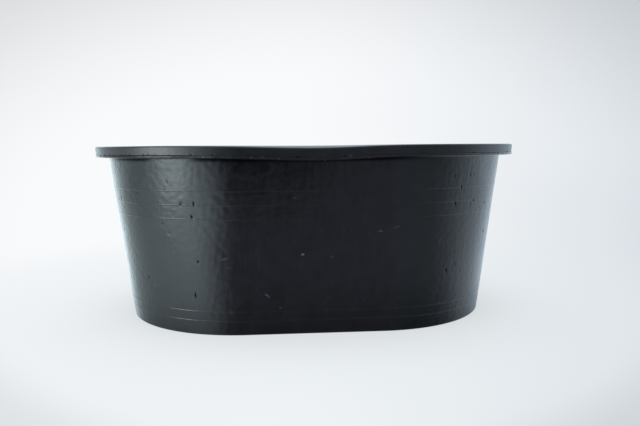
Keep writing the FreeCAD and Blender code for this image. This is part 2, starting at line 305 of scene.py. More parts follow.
def arc(radius, level, rounding, start_degrees, end_degrees, steps=6):
    """Section points (radius, level) along a rounding about a centre; 0 degrees points outwards and 90 up."""
    angles = np.radians(np.linspace(start_degrees, end_degrees, steps + 1))
    return [(radius + rounding * math.cos(a), level + rounding * math.sin(a)) for a in angles]


def line(start, end, pitch, margin=0.3 * MM):
    """Section points between start and end, with one close to each end to hold the shading flat."""
    start, end = np.array(start), np.array(end)
    length = float(np.linalg.norm(end - start))
    steps = max(1, round((length - 2 * margin) / pitch))
    shares = np.linspace(margin / length, 1 - margin / length, steps + 1)
    return [tuple(start + (end - start) * share) for share in shares]


# ---------------------------------------------------------------- the dip and the blemishes

def dip(points):
    """Points moved down by the dip: most at the rim's outer edge, less further in, none at the foot."""
    moved = points.copy()
    across_front = points[:, 0] - DIP_MIDDLE
    along = np.exp(-((across_front / np.where(across_front < 0, DIP_WIDTH_LEFT, DIP_WIDTH_RIGHT)) ** 2))
    near = smooth_step(-points[:, 1], 0, wall_radius(0))
    height = np.clip(points[:, 2] / FLANGE_UNDERSIDE, 0, 1) ** DIP_FADE_POWER
    mouth = cavity_radius(RIM_TOP)
    across = np.clip((-points[:, 1] - mouth) / (RIM_RADIUS - mouth), 0, 1)
    below = np.clip((RIM_TOP - points[:, 2]) / (RIM_TOP - FLANGE_UNDERSIDE), 0, 1)
    depth = INNER_DIP + (OUTER_DIP - INNER_DIP + LIP_SAG * below) * across
    moved[:, 2] -= depth * along * near * height
    return moved


NICK_DEPTH = 0.9 * MM
# The clearest marks on the near side, placed to the nearest 5 mm. Each: distance round the wall from
# its middle, level, half width and half height in millimetres, lean in degrees, and how clearly it shows.
CLEAR_NICKS = (
    (-185, 210, 1.2, 4.6, 10, 0.8),
    (-190, 190, 1.3, 3.2, 25, 0.9),
    (-185, 120, 1.6, 2.2, 0, 0.9),
    (-195, 65, 1.1, 5.4, 0, 1.0),
)
CLEAR_SCUFFS = (
    (-20, 130, 3.0, 1.6, 15, 1.0),
    (-75, 65, 6.0, 1.2, -40, 0.7),
    (-55, 45, 3.4, 1.2, -10, 0.6),
    (-140, 125, 6.5, 1.3, 20, 0.7),
    (100, 165, 5.0, 1.0, 10, 0.6),
    (125, 170, 6.0, 1.0, 15, 0.6),
)
# Zones of the wall with smaller marks strewn over them. Each: how many marks, the zone's two ends round the
# wall and its lowest and highest level in millimetres, and how clearly its clearest mark can show.
NICK_ZONES = (
    (12, -400, -190, 30, 250, 0.9),
    (16, 220, 380, 30, 260, 1.0),
)
SCUFF_ZONES = (
    (7, -310, -130, 40, 190, 0.5),
    (8, -130, 140, 40, 260, 0.45),
    (3, 200, 300, 120, 240, 0.7),
)
# Little bits of moulding flash on the lip and the band, light grey as a painted glint.
FLASH_ZONES = (
    (8, -250, 160, 279, 286, 1.0),
)
NICK_HALF_WIDTHS = (1.2 * MM, 2.2 * MM)
NICK_HALF_HEIGHTS = (1.4 * MM, 3.4 * MM)
SCUFF_HALF_WIDTHS = (1.2 * MM, 4.0 * MM)
SCUFF_HALF_HEIGHTS = (0.9 * MM, 2.0 * MM)
FLASH_HALF_SIZES = (1.0 * MM, 1.4 * MM)
NICK_LEAN = 20
SCUFF_LEAN = 25
STREWN_SHOW = (0.4, 1.0)
NICK_SEED = RANDOM_SEED + 31
SCUFF_SEED = RANDOM_SEED + 32
FLASH_SEED = RANDOM_SEED + 33

# Faint marks over the ends and the far side: how many, their half widths, and how much taller than wide at
# most.
FAINT_NICKS = (26, (2.4 * MM, 3.6 * MM), 1.6)
FAINT_SCUFFS = (18, (2.6 * MM, 6 * MM), 2.2)
FAINT_START = 420 * MM
FAINT_LEVELS = (20 * MM, 260 * MM)
FAINT_LEAN = 25
FAINT_SHOW = (0.1, 0.4)

# How far a mark reaches, in half sizes, and how abruptly it ends.
MARK_REACH = 3
MARK_EDGE = 1.5


def strew(zones, seed, half_widths, half_heights, lean):
    """Marks strewn evenly over zones of the wall, each leaning up to lean degrees either way."""
    random = np.random.default_rng(seed)
    marks = []
    for count, left, right, lowest, highest, clearest in zones:
        for _ in range(count):
            around = random.uniform(left, right) * MM
            level = random.uniform(lowest, highest) * MM
            half_width = random.uniform(*half_widths)
            half_height = random.uniform(*half_heights)
            show = clearest * random.uniform(*STREWN_SHOW)
            marks.append((around, level, half_width, half_height, random.uniform(-lean, lean), show))
    return marks


def scatter(count, half_widths, stretch, seed):
    """Faint marks strewn over the ends and the far side, which the zones leave free."""
    random = np.random.default_rng(seed)
    marks = []
    for _ in range(count):
        around = random.uniform(FAINT_START, 2 * Columns.QUARTER) * random.choice((-1, 1))
        level = random.uniform(*FAINT_LEVELS)
        half_width = random.uniform(*half_widths)
        half_height = half_width * random.uniform(1, stretch)
        lean = random.uniform(-FAINT_LEAN, FAINT_LEAN)
        marks.append((around, level, half_width, half_height, lean, random.uniform(*FAINT_SHOW)))
    return marks


def placed(marks):
    """The same marks with their places and sizes in metres."""
    return [(around * MM, level * MM, w * MM, h * MM, *look) for around, level, w, h, *look in marks]


ALL_NICKS = placed(CLEAR_NICKS) + scatter(*FAINT_NICKS, RANDOM_SEED)
ALL_NICKS += strew(NICK_ZONES, NICK_SEED, NICK_HALF_WIDTHS, NICK_HALF_HEIGHTS, NICK_LEAN)
ALL_SCUFFS = placed(CLEAR_SCUFFS) + scatter(*FAINT_SCUFFS, RANDOM_SEED + 1)
ALL_SCUFFS += strew(SCUFF_ZONES, SCUFF_SEED, SCUFF_HALF_WIDTHS, SCUFF_HALF_HEIGHTS, SCUFF_LEAN)
ALL_FLASH = strew(FLASH_ZONES, FLASH_SEED, FLASH_HALF_SIZES, FLASH_HALF_SIZES, lean=0)


def mark_strength(around, level, marks):
    """How strongly the marks show at each distance round the wall, at one level, from 0 to 1."""
    strength = np.zeros(len(around))
    for mark_around, mark_level, half_width, half_height, lean, show in marks:
        reach = MARK_REACH * max(half_width, half_height)
        if abs(level - mark_level) > reach:
            continue
        near = np.abs(around - mark_around) < reach
        across = around[near] - mark_around
        up = level - mark_level
        cosine, sine = math.cos(math.radians(lean)), math.sin(math.radians(lean))
        u = (across * cosine + up * sine) / half_width
        v = (up * cosine - across * sine) / half_height
        strength[near] = np.maximum(strength[near], show * np.exp(-((u * u + v * v) ** MARK_EDGE)))
    return strength


# ---------------------------------------------------------------- tub shell

FINE_PITCH = 1.25 * MM
COARSE_PITCH = 3.5 * MM
FINE_REACH = 400 * MM
ROW_PITCH = 2 * MM
INSIDE_ROW_PITCH = 5 * MM
FLOOR_PITCH = 9 * MM
FLOOR_MIDDLE_RADIUS = 18 * MM
HALVING_RADIUS = 150 * MM
FLANGE_ROW_PITCH = 4 * MM
FOOT_ROW_PITCH = 6 * MM

# A ridge's section, from its top edge to its bottom edge: share of its width and share of its height.
RIDGE_STEPS = (
    (0.0, 0.0), (0.1, 0.35), (0.22, 0.85), (0.36, 1.0),
    (0.64, 1.0), (0.78, 0.85), (0.9, 0.35), (1.0, 0.0),
)
# The part of its nominal height that a ridge reaches, and how that varies round the wall.
RIDGE_SHARE = 0.70
RIDGE_SHARE_SPREAD = 0.06
RIDGE_CONTRAST = 1.4
RIDGE_RIPPLE = 160 * MM
RIDGE_SEED = 320

# The wall's waves, which fade out near the foot and the flange, and its smaller lumps.
WALL_WAVE = 0.25 * MM
WALL_WAVE_LENGTH = 130 * MM
WAVES_FROM_FOOT = 40 * MM
WAVES_FROM_FLANGE = 25 * MM
WALL_LUMP = 0.045 * MM
WALL_LUMP_LENGTH = 12 * MM
WALL_LUMP_SEED = RANDOM_SEED + 2

# The painted shade in the corner under the lip: how strongly it shows, how far down it goes, where it fades
# on the right and on the left, how much is lost there, and the stretch at the left without it.
CORNER_SHADE = 0.75
CORNER_SHADE_REACH = 9 * MM
CORNER_FADE_RIGHT = (90 * MM, 210 * MM)
CORNER_FADE_LEFT = (320 * MM, 450 * MM)
CORNER_FADE = 0.9
CLEAR_CORNER = -218 * MM
CLEAR_CORNER_WIDTH = 38 * MM
CLEAR_CORNER_EDGE = 4
# The small rounding between flange and wall: its radius, its centre's distance from the wall, and where it
# ends.
CORNER_ROUNDING = 2 * MM
CORNER_CENTRE = 1.8 * MM
CORNER_END_DEGREES = 173

# The lip: painted shade towards the left, uneven, and with flash standing out from it.
PAINTED_LIP_SHADE = 0.42
PAINTED_LIP_SHADE_START = (150 * MM, 190 * MM)
LIP_SHORTFALL = 0.3 * MM
LIP_SLOW_WAVE = 0.18 * MM
LIP_SLOW_LENGTH = 90 * MM
LIP_SLOW_SEED = RANDOM_SEED + 11
LIP_QUICK_WAVE = 0.12 * MM
LIP_QUICK_LENGTH = 14 * MM
LIP_QUICK_SEED = RANDOM_SEED + 12
FLASH_HEIGHT = 0.5 * MM
# Where the rings over the sleeve's seat lie, in half widths of the seat from its middle.
SEAT_SHARES = (-1.3, -1.0, -0.75, -0.4, 0.0, 0.4, 0.75, 1.0, 1.3)

COLUMNS = Columns(column_places(FINE_PITCH, COARSE_PITCH, FINE_REACH))
HALF_COLUMNS = COLUMNS.halved()
QUARTER_COLUMNS = HALF_COLUMNS.halved()


def wall_rows():
    """Rows of the outer wall from the flange down to the foot: level, and a ridge's height from 0 to 1."""
    rows = []
    top = FLANGE_UNDERSIDE - CORNER_ROUNDING
    for middle in sorted(RIDGE_LEVELS, reverse=True):
        ridge_top = middle + RIDGE_WIDTH / 2
        rows += [(level, 0.0) for _, level in line((0, top), (0, ridge_top), ROW_PITCH)]
        rows += [(ridge_top - share * RIDGE_WIDTH, height) for share, height in RIDGE_STEPS]
        top = middle - RIDGE_WIDTH / 2
    foot_top = FOOT_ROUNDING * (1 - math.sin(WALL_LEAN))
    rows += [(level, 0.0) for _, level in line((0, top), (0, foot_top), ROW_PITCH)]
    return rows


def ridge_strength(columns, level):
    """A ridge's height round the wall, as a share: a little lower in places than in others."""
    places = columns.ring(WALL_TOP_RADIUS, level)
    spread = ripple(places, RIDGE_RIPPLE, RIDGE_SEED + round(level / MM))
    return RIDGE_SHARE + RIDGE_SHARE_SPREAD * np.clip(RIDGE_CONTRAST * spread, -1, 1)


def corner_shade(columns):
    """How strongly the painted shade in the corner under the lip shows, for each column."""
    fade = smooth_step(columns.around, *CORNER_FADE_RIGHT) + smooth_step(-columns.around, *CORNER_FADE_LEFT)
    clear = np.exp(-(((columns.around - CLEAR_CORNER) / CLEAR_CORNER_WIDTH) ** CLEAR_CORNER_EDGE))
    return CORNER_SHADE * (1 - CORNER_FADE * fade) * (1 - clear)


def add_wall_row(lathe, level, ridge):
    """One ring of the outer wall, with its waviness, ridge, nicks and scuffs."""
    below = FLANGE_UNDERSIDE - level
    nick = mark_strength(COLUMNS.around, level, ALL_NICKS)
    # Painted shade in the corner under the lip, fading out a little way down the wall.
    corner = corner_shade(COLUMNS) * (1 - smooth_step(below, CORNER_ROUNDING, CORNER_SHADE_REACH))
    scuff = mark_strength(COLUMNS.around, level, ALL_SCUFFS)
    places = COLUMNS.ring(wall_radius(level), level)
    fade = smooth_step(level, FOOT_ROUNDING, WAVES_FROM_FOOT) * smooth_step(below, 0, WAVES_FROM_FLANGE)
    wave = WALL_WAVE * fade * ripple(places, WALL_WAVE_LENGTH, RANDOM_SEED)
    lump = WALL_LUMP * ripple(places, WALL_LUMP_LENGTH, WALL_LUMP_SEED, waves=40)
    radius = wall_radius(level) + wave + lump - NICK_DEPTH * nick
    radius = radius + ridge * RIDGE_HEIGHT * ridge_strength(COLUMNS, level)
    # The nicks and the corner under the lip carry painted shade; scuffs are lighter wear.
    lathe.add_ring(COLUMNS.ring(radius, level), nick=np.maximum(nick, corner), scuff=scuff)


def seat_depth(columns, radius):
    """How far the sleeve's seat is sunk into the flange at a radius, for each column."""
    width = SEAT_RADIUS**2 - (radius - HOOP_RADIUS) ** 2
    sunk = max(0.0, math.sqrt(max(0.0, width)) - (HOOP_LEVEL - FLANGE_TOP))
    return np.where(over_sleeve(columns), sunk, 0.0)


def over_sleeve(columns):
    """True for the columns that pass the sleeve."""
    return (columns.outward[:, 1] == 1) & (np.abs(columns.spine[:, 0]) < SEAT_HALF_LENGTH + COARSE_PITCH / 2)


def add_section(lathe, columns, section, **values):
    """Plain rings at the section's points."""
    for radius, level in section:
        lathe.add_ring(columns.ring(radius, level), **values)


def add_cavity(lathe):
    """Floor from its middle outwards, the inside rounding, and the wall up to the flange."""
    slope = math.degrees(WALL_LEAN)
    rounding_level = FLOOR_LEVEL + FLOOR_ROUNDING
    rounding_radius = cavity_radius(rounding_level) - FLOOR_ROUNDING / math.cos(WALL_LEAN)
    middle = (FLOOR_MIDDLE_RADIUS, FLOOR_LEVEL)
    halving = (HALVING_RADIUS, FLOOR_LEVEL)
    add_section(lathe, QUARTER_COLUMNS, line(middle, halving, FLOOR_PITCH))
    add_section(lathe, HALF_COLUMNS, line(halving, (rounding_radius, FLOOR_LEVEL), FLOOR_PITCH / 2))
    rounding = arc(rounding_radius, rounding_level, FLOOR_ROUNDING, -90, -slope, steps=10)
    add_section(lathe, HALF_COLUMNS, rounding)
    top_of_wall = (cavity_radius(FLANGE_TOP), FLANGE_TOP)
    add_section(lathe, HALF_COLUMNS, line(rounding[-1], top_of_wall, INSIDE_ROW_PITCH))


def add_flange(lathe):
    """Flange top with the sleeve's seat, the lip's two roundings and the flange underside."""
    inner = (cavity_radius(FLANGE_TOP), FLANGE_TOP)
    seat_half_width = math.sqrt(SEAT_RADIUS**2 - (HOOP_LEVEL - FLANGE_TOP) ** 2)
    add_section(lathe, HALF_COLUMNS, [inner])
    for share in SEAT_SHARES:
        radius = HOOP_RADIUS + share * seat_half_width
        lathe.add_ring(COLUMNS.ring(radius, FLANGE_TOP - seat_depth(COLUMNS, radius)))
    lip_wave = lip_unevenness(COLUMNS)
    # Painted shade on the lip towards the left: darker and less shiny where it would catch the light.
    lip_shade = PAINTED_LIP_SHADE * smooth_step(-COLUMNS.around, *PAINTED_LIP_SHADE_START)
    lip_radius = LIP_RADIUS - LIP_ROUNDING
    lip = arc(lip_radius, FLANGE_TOP - LIP_ROUNDING, LIP_ROUNDING, 90, 0)
    lip += arc(lip_radius, FLANGE_UNDERSIDE + LIP_ROUNDING, LIP_ROUNDING, 0, -90)
    for radius, level in lip:
        share = (radius - lip_radius) / LIP_ROUNDING
        flash = mark_strength(COLUMNS.around, level, ALL_FLASH)
        # Painted shade on the lip's lower rounding, carried on from the corner under the lip.
        shade = corner_shade(COLUMNS) * smooth_step(FLANGE_UNDERSIDE + LIP_ROUNDING - level, 0, LIP_ROUNDING)
        ring = COLUMNS.ring(radius - lip_wave * share + FLASH_HEIGHT * flash, level)
        # Bits of flash get a painted glint instead of painted shade.
        lathe.add_ring(ring, nick=np.maximum(shade, lip_shade) * (1 - flash), scuff=flash)
    corner_start = (WALL_TOP_RADIUS + CORNER_ROUNDING, FLANGE_UNDERSIDE)
    underside = line((lip_radius, FLANGE_UNDERSIDE), corner_start, FLANGE_ROW_PITCH)
    # Painted shade on the flange's underside and in the corner rounding below it.
    add_section(lathe, COLUMNS, underside, nick=corner_shade(COLUMNS))
    centre = (WALL_TOP_RADIUS + CORNER_CENTRE, FLANGE_UNDERSIDE - CORNER_ROUNDING)
    corner = arc(*centre, CORNER_ROUNDING, 90, CORNER_END_DEGREES, steps=5)
    add_section(lathe, COLUMNS, corner, nick=corner_shade(COLUMNS))


def lip_unevenness(columns):
    """How far the lip falls short of its full radius, in metres."""
    places = columns.ring(LIP_RADIUS, FLANGE_TOP)
    slow = ripple(places, LIP_SLOW_LENGTH, LIP_SLOW_SEED)
    quick = ripple(places, LIP_QUICK_LENGTH, LIP_QUICK_SEED)
    return LIP_SHORTFALL + LIP_SLOW_WAVE * slow + LIP_QUICK_WAVE * quick


def add_foot(lathe):
    """Rounding under the wall, the ring that the tub stands on, and the recessed middle of the underside."""
    slope = math.degrees(WALL_LEAN)
    foot_radius = wall_radius(FOOT_ROUNDING) - FOOT_ROUNDING / math.cos(WALL_LEAN)
    recess_radius = wall_radius(0) - FOOT_RING_WIDTH
    add_section(lathe, COLUMNS, arc(foot_radius, FOOT_ROUNDING, FOOT_ROUNDING, -slope, -90, steps=8))
    add_section(lathe, HALF_COLUMNS, line((foot_radius, 0), (recess_radius, 0), FOOT_ROW_PITCH))
    add_section(lathe, HALF_COLUMNS, [(recess_radius, 0), (recess_radius, FOOT_RECESS - RECESS_ROUNDING)])
    rounding_radius = recess_radius - RECESS_ROUNDING
    rounding = arc(rounding_radius, FOOT_RECESS - RECESS_ROUNDING, RECESS_ROUNDING, 0, 90, steps=5)
    add_section(lathe, HALF_COLUMNS, rounding[1:])
    plateau = line((rounding_radius, FOOT_RECESS), (FLOOR_MIDDLE_RADIUS, FOOT_RECESS), FLOOR_PITCH)
    add_section(lathe, HALF_COLUMNS, plateau[:2])
    add_section(lathe, QUARTER_COLUMNS, plateau[2:])


def make_shell():
    """Wall, floor and flange."""
    lathe = Lathe("nick", "scuff")
    add_cavity(lathe)
    add_flange(lathe)
    for level, ridge in wall_rows():
        add_wall_row(lathe, level, ridge)
    add_foot(lathe)
    lathe.cap(0, flip=True)
    lathe.cap(len(lathe.starts) - 1, flip=False)
    lathe.points = [dip(ring) for ring in lathe.points]
    return lathe.build("tub_shell_rubber")


# ---------------------------------------------------------------- rim band

BAND_ROW_PITCH = 1.6 * MM
BAND_TOP_PITCH = 3.5 * MM
BAND_INSIDE_PITCH = 3 * MM
GROOVE_INNER_MARGIN = 1 * MM
GROOVE_OUTER_MARGIN = 0.5 * MM
BAND_WAVE = 0.25 * MM
BAND_WAVE_LENGTH = 60 * MM
BAND_WAVE_SEED = RANDOM_SEED + 23
# The little voids along the seam: depth, spacing, spacing and weight of their clusters, the noise levels
# where they start and are full, how high above the seam they fade out, and how dark their painted shade is.
VOID_DEPTH = 0.6 * MM
VOID_LENGTH = 9 * MM
VOID_SEED = RANDOM_SEED + 21
VOID_CLUSTER_LENGTH = 120 * MM
VOID_CLUSTER_WEIGHT = 0.6
VOID_CLUSTER_SEED = RANDOM_SEED + 22
VOID_THRESHOLDS = (1.5, 2.6)
VOID_EDGE = (0.9 * MM, 1.8 * MM)
VOID_SHADE = 0.7


def seam_voids(columns):
    """Depth of the little voids along the seam under the band, for each column."""
    places = columns.ring(BAND_FOOT_RADIUS, FLANGE_TOP)
    clusters = ripple(places, VOID_CLUSTER_LENGTH, VOID_CLUSTER_SEED)
    noise = ripple(places, VOID_LENGTH, VOID_SEED) + VOID_CLUSTER_WEIGHT * clusters
    return VOID_DEPTH * smooth_step(noise, *VOID_THRESHOLDS)


def groove_section(radius):
    """The groove's section under the band, from its inner wall over the top to its outer wall."""
    crown = arc(HOOP_RADIUS, HOOP_LEVEL, radius, 180, 0, steps=12)
    return [(HOOP_RADIUS - radius, FLANGE_TOP)] + crown + [(HOOP_RADIUS + radius, FLANGE_TOP)]


def add_groove(lathe):
    """Groove for the hoop, wider where it passes the sleeve."""
    wide = over_sleeve(COLUMNS)
    for plain, seat in zip(groove_section(GROOVE_RADIUS), groove_section(SEAT_RADIUS)):
        radius = np.where(wide, seat[0], plain[0])
        level = np.where(wide, seat[1], plain[1])
        lathe.add_ring(COLUMNS.ring(radius, level))


def add_band_face(lathe):
    """Seam edge, outer face and top rounding of the band, with the seam's voids and a slight unevenness."""
    slope = math.degrees(BAND_LEAN)
    voids = seam_voids(COLUMNS)
    seam_radius = BAND_FOOT_RADIUS - BAND_FOOT_ROUNDING
    seam = arc(seam_radius, FLANGE_TOP + BAND_FOOT_ROUNDING, BAND_FOOT_ROUNDING, -90, -slope)
    top_level = RIM_TOP - BAND_TOP_ROUNDING
    top_radius = RIM_RADIUS - BAND_TOP_ROUNDING * math.tan(BAND_LEAN)
    face = line(seam[-1], (top_radius, top_level), BAND_ROW_PITCH)
    rounding_radius = top_radius - BAND_TOP_ROUNDING / math.cos(BAND_LEAN)
    rounding = arc(rounding_radius, top_level, BAND_TOP_ROUNDING, -slope, 90, steps=8)
    for radius, level in seam + face + rounding:
        places = COLUMNS.ring(radius, level)
        near_seam = 1 - smooth_step(level, FLANGE_TOP + VOID_EDGE[0], FLANGE_TOP + VOID_EDGE[1])
        sunk = 0.5 * BAND_WAVE * (1 + ripple(places, BAND_WAVE_LENGTH, BAND_WAVE_SEED))
        # Painted shade darkens the seam's voids.
        pitted = voids * near_seam
        # Bits of flash on the band get a painted glint.
        flash = mark_strength(COLUMNS.around, level, ALL_FLASH)
        ring = COLUMNS.ring(radius - sunk - pitted + FLASH_HEIGHT * flash, level)
        lathe.add_ring(ring, nick=VOID_SHADE * pitted / VOID_DEPTH, scuff=flash)


def add_band_top(lathe):
    """Top face, mouth rounding and inner face of the band."""
    slope = math.degrees(WALL_LEAN)
    mouth_level = RIM_TOP - BAND_MOUTH_ROUNDING
    mouth_radius = cavity_radius(mouth_level) + BAND_MOUTH_ROUNDING / math.cos(WALL_LEAN)
    rounding_radius = RIM_RADIUS - BAND_TOP_ROUNDING * (1 + math.tan(BAND_LEAN))
    add_section(lathe, COLUMNS, line((rounding_radius, RIM_TOP), (mouth_radius, RIM_TOP), BAND_TOP_PITCH))
    add_section(lathe, COLUMNS, arc(mouth_radius, mouth_level, BAND_MOUTH_ROUNDING, 90, 180 - slope))
    top_of_inside = (cavity_radius(mouth_level), mouth_level)
    foot_of_inside = (cavity_radius(FLANGE_TOP), FLANGE_TOP)
    add_section(lathe, COLUMNS, line(top_of_inside, foot_of_inside, BAND_INSIDE_PITCH))


def make_band():
    """The thick band on top of the flange."""
    lathe = Lathe("nick", "scuff")
    foot_inner = (cavity_radius(FLANGE_TOP), FLANGE_TOP)
    groove_inner = (HOOP_RADIUS - SEAT_RADIUS - GROOVE_INNER_MARGIN, FLANGE_TOP)
    add_section(lathe, COLUMNS, [foot_inner, *line(foot_inner, groove_inner, FLANGE_ROW_PITCH)])
    add_groove(lathe)
    groove_outer = (HOOP_RADIUS + SEAT_RADIUS + GROOVE_OUTER_MARGIN, FLANGE_TOP)
    foot_outer = (BAND_FOOT_RADIUS - BAND_FOOT_ROUNDING, FLANGE_TOP)
    add_section(lathe, COLUMNS, line(groove_outer, foot_outer, BAND_INSIDE_PITCH))
    add_band_face(lathe)
    add_band_top(lathe)
    lathe.close_loop()
    lathe.points = [dip(ring) for ring in lathe.points]
    return lathe.build("rim_band_rubber")


# ---------------------------------------------------------------- hoop

WIRE_SIDES = 20
WIRE_PLACES = 481


def make_hoop():
    """The wire hoop: a round bar that follows the rim, open at the joint on the far side."""
    end = 2 * Columns.QUARTER - HOOP_GAP / 2
    path = Columns(np.linspace(-end, end, WIRE_PLACES))
    points = []
    faces = []
    for side in range(WIRE_SIDES):
        turn = math.tau * side / WIRE_SIDES
        radius = HOOP_RADIUS + WIRE_RADIUS * math.cos(turn)
        points.append(dip(path.ring(radius, HOOP_LEVEL + WIRE_RADIUS * math.sin(turn))))
    length = len(path)
    for side in range(WIRE_SIDES):
        first, second = side * length, (side + 1) % WIRE_SIDES * length
        faces += [(first + k, first + k + 1, second + k + 1, second + k) for k in range(length - 1)]
    faces.append(tuple(side * length for side in range(WIRE_SIDES)))
    faces.append(tuple(side * length + length - 1 for side in reversed(range(WIRE_SIDES))))
    return linked_object("rim_hoop_wire", shaded_mesh("rim_hoop_wire", np.concatenate(points), faces))


# ---------------------------------------------------------------- materials

class Shader:
    """A node tree with short calls for the nodes that the materials share."""

    def __init__(self, tree):
        self.tree = tree
        tree.nodes.clear()

    def node(self, kind, **settings):
        made = self.tree.nodes.new(kind)
        for name, value in settings.items():
            setattr(made, name, value)
        return made

    def put(self, target, value):
        """Sets a socket to a value, or links another node's output to it."""
        if isinstance(value, bpy.types.NodeSocket):
            self.tree.links.new(value, target)
        else:
            target.default_value = value

    def stretched(self, scale, kind="Object"):
        """Texture coordinates, the object's own unless another kind is named, scaled along each axis."""
        coordinates = self.node("ShaderNodeTexCoord")
        mapping = self.node("ShaderNodeMapping")
        self.put(mapping.inputs["Vector"], coordinates.outputs[kind])
        mapping.inputs["Scale"].default_value = scale
        return mapping.outputs["Vector"]

    def noise(self, vector, scale, detail=3.0, roughness=0.55):
        texture = self.node("ShaderNodeTexNoise")
        self.put(texture.inputs["Vector"], vector)
        texture.inputs["Scale"].default_value = scale
        texture.inputs["Detail"].default_value = detail
        texture.inputs["Roughness"].default_value = roughness
        return texture.outputs["Fac"]

    def remap(self, value, low, high, to_low=0.0, to_high=1.0):
        """Maps low..high smoothly to to_low..to_high."""
        ranged = self.node("ShaderNodeMapRange", interpolation_type="SMOOTHSTEP")
        self.put(ranged.inputs["Value"], value)
        ranged.inputs["From Min"].default_value = low
        ranged.inputs["From Max"].default_value = high
        ranged.inputs["To Min"].default_value = to_low
        ranged.inputs["To Max"].default_value = to_high
        return ranged.outputs["Result"]

    def math(self, operation, first, second=0.0, clamp=False):
        node = self.node("ShaderNodeMath", operation=operation, use_clamp=clamp)
        self.put(node.inputs[0], first)
        self.put(node.inputs[1], second)
        return node.outputs["Value"]

    def mix(self, factor, first, second):
        """Mixes two colours."""
        node = self.node("ShaderNodeMix", data_type="RGBA")
        self.put(node.inputs["Factor"], factor)
        self.put(node.inputs[6], first)
        self.put(node.inputs[7], second)
        return node.outputs[2]

    def attribute(self, name):
        return self.node("ShaderNodeAttribute", attribute_name=name).outputs["Fac"]

    def distance(self, vector, point):
        node = self.node("ShaderNodeVectorMath", operation="DISTANCE")
        self.put(node.inputs[0], vector)
        node.inputs[1].default_value = point
        return node.outputs["Value"]

    def level_direction(self, vector, sign):
        """The level part of a direction, or of its opposite if sign is -1, at unit length."""
        flattened = self.node("ShaderNodeVectorMath", operation="MULTIPLY")
        self.put(flattened.inputs[0], vector)
        flattened.inputs[1].default_value = (sign, sign, 0)
        unit = self.node("ShaderNodeVectorMath", operation="NORMALIZE")
        self.put(unit.inputs[0], flattened.outputs["Vector"])
        return self.split(unit.outputs["Vector"])

    def split(self, vector):
        """The X, Y and Z of a vector."""
        parts = self.node("ShaderNodeSeparateXYZ")
        self.put(parts.inputs["Vector"], vector)
        return parts.outputs

    def emission(self, colour, strength=1.0, kind="ShaderNodeEmission"):
        node = self.node(kind)
        self.put(node.inputs["Color"], colour)
        self.put(node.inputs["Strength"], strength)
        return node.outputs[0]

    def for_camera(self, seen, sent):
        """One shader for what the camera sees directly and another for every other ray."""
        chosen = self.node("ShaderNodeMixShader")
        self.put(chosen.inputs[0], self.node("ShaderNodeLightPath").outputs["Is Camera Ray"])
        self.put(chosen.inputs[1], sent)
        self.put(chosen.inputs[2], seen)
        return chosen.outputs["Shader"]

    def finish(self, kind, shader):
        self.put(self.node(kind).inputs["Surface"], shader)

    def bump(self, height, strength, distance, normal=None):
        node = self.node("ShaderNodeBump")
        self.put(node.inputs["Height"], height)
        node.inputs["Strength"].default_value = strength
        node.inputs["Distance"].default_value = distance
        if normal is not None:
            self.put(node.inputs["Normal"], normal)
        return node.outputs["Normal"]

    def surface(self, **inputs):
        """The finished surface, with inputs named as on the node but with _ for a space."""
        principled = self.node("ShaderNodeBsdfPrincipled")
        for name, value in inputs.items():
            self.put(principled.inputs[name.replace("_", " ")], value)
        self.finish("ShaderNodeOutputMaterial", principled.outputs["BSDF"])


def new_material(name):
    material = bpy.data.materials.new(name)
    material.use_nodes = True
    return material, Shader(material.node_tree)


BLACK_RUBBER = (0.0032, 0.0031, 0.0036, 1)
DUSTY_RUBBER = (0.0085, 0.0085, 0.0097, 1)
# Light grey of the scuffs, which is wear, and of the flash, where it is a painted glint.
SCUFF_AND_GLINT_GREY = (0.215, 0.220, 0.230, 1)
# The colour of painted shade, in the nicks, the seam's voids, the corner under the lip and the left of the
# lip.
NICK_SHADE = (0.0010, 0.0010, 0.0012, 1)
STREAK_STRETCH = (1, 1, 0.07)
# How finely each noise varies, in waves per metre.
MOTTLE_WAVES = 42
STREAK_WAVES = 170
BROAD_STREAK_WAVES = 38
GRAIN_WAVES = 700
PEEL_WAVES = 180
FRAY_WAVES = 420
# How far dust and mottling lighten the rubber, and how sharply the edges of scuffs and of the flash are
# frayed.
MOTTLE_TINT = 0.4
DUST_TINT = 0.45
FRAY_POWER = 2.0
# What mottling, dust and scuffs add to the roughness, and the shine of clean rubber and of rubber under
# painted shade.
MOTTLE_ROUGHNESS = 0.025
DUST_ROUGHNESS = 0.06
SCUFF_ROUGHNESS = 0.25
CLEAN_SHINE = 0.5
NICK_SHINE = 0.04
# Strength and height of the orange peel, the streaks and the grain.
PEEL_BUMP = (0.4, 0.5 * MM)
STREAK_BUMP = (0.18, 0.3 * MM)
GRAIN_BUMP = (0.4, 0.12 * MM)

# Steel: its colour and the colour of its stains, then the drawing lines and the stains.
HOOP_STEEL = (0.42, 0.41, 0.40, 1)
HOOP_RUST = (0.20, 0.13, 0.09, 1)
SLEEVE_STEEL = (0.58, 0.58, 0.60, 1)
SLEEVE_STAIN = (0.42, 0.42, 0.43, 1)
DRAWN_STRETCH = (1, 1, 14)
DRAWN_WAVES = 260
DRAWN_ROUGHNESS = (-0.08, 0.12)
DRAWN_BUMP = (0.2, 0.1 * MM)
STAIN_WAVES = 90


